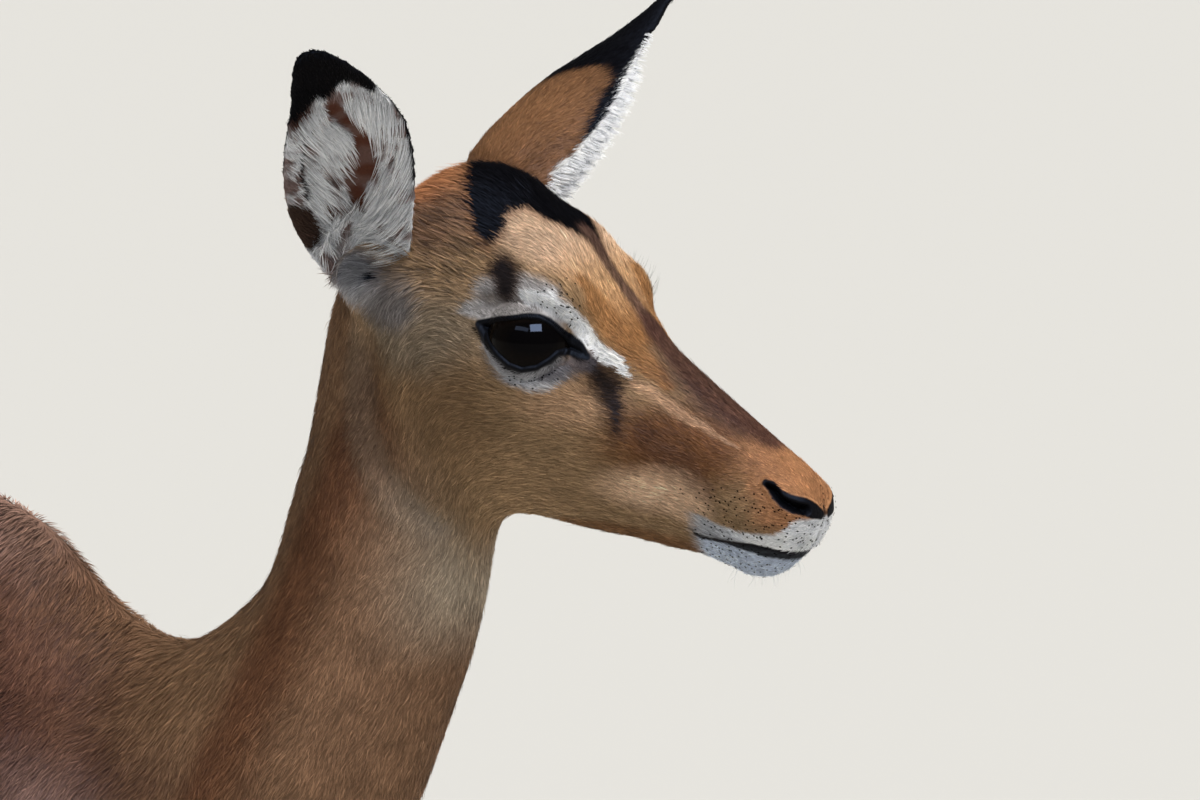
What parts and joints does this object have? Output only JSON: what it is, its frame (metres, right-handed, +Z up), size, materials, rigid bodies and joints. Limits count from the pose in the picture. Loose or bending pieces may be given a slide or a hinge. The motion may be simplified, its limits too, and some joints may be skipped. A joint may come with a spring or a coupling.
{
  "type": "life-size model of a young impala ewe, standing",
  "caption": "Still, life-size model of a young female impala standing on its hooves, head raised and looking ahead, ears up, mouth closed.",
  "frame": {"origin": "middle of the underside of the whole animal's box, on the floor the hooves stand on", "axes": "+X forwards, the way the animal looks; +Y to the animal's left; +Z up"},
  "size_m": [1.0658, 0.2658, 1.02],
  "materials": {
    "fawn_coat": "short fawn hair",
    "red_coat": "short red-brown hair",
    "black_horn": "dark hoof horn, satin",
    "dark_eye": "wet and glossy"
  },
  "bodies": {
    "root": {"trunk": "red_coat", "neck": "fawn_coat", "head": "red_coat", "ear_right": "fawn_coat", "ear_left": "fawn_coat", "tail": "red_coat", "front_leg_right": "fawn_coat", "front_leg_left": "fawn_coat", "hind_leg_right": "fawn_coat", "hind_leg_left": "fawn_coat", "eye_right": "dark_eye", "eye_left": "dark_eye", "hoof_front_right_outer": "black_horn", "hoof_front_right_inner": "black_horn", "hoof_front_left_outer": "black_horn", "hoof_front_left_inner": "black_horn", "hoof_hind_right_outer": "black_horn", "hoof_hind_right_inner": "black_horn", "hoof_hind_left_outer": "black_horn", "hoof_hind_left_inner": "black_horn"}
  },
  "joints": []
}
